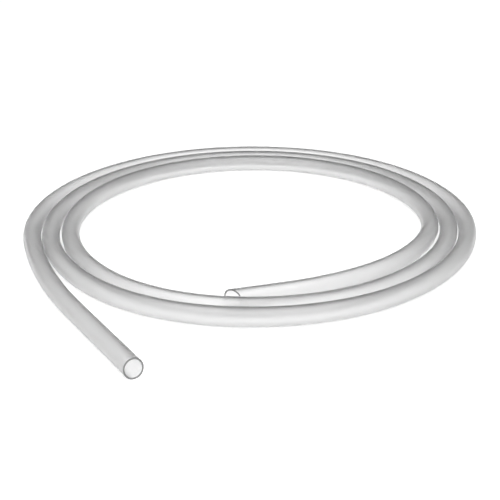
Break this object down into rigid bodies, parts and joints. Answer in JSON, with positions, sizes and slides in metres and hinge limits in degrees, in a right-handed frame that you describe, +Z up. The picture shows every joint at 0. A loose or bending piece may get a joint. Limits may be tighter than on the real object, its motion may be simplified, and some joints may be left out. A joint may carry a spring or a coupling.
{
  "type": "silicone tubing coil",
  "caption": "Thin-walled clear silicone tube wound into a loose flat coil, with a loose straight tail and an open cut end on the outside and on the inside of the coil.",
  "frame": {"origin": "middle of the coil's outline seen from above, at the height of the surface it lies on", "axes": "+Z up, square to the flat coil; +Y from the loose outer end towards the far side of the coil; +X to the right of that, seen from above"},
  "size_m": [0.3136, 0.38, 0.012],
  "materials": {
    "clear_silicone": "smooth, clear to faintly milky platinum-cured silicone rubber, see-through"
  },
  "bodies": {
    "root": {"tubing": "clear_silicone"}
  },
  "joints": []
}
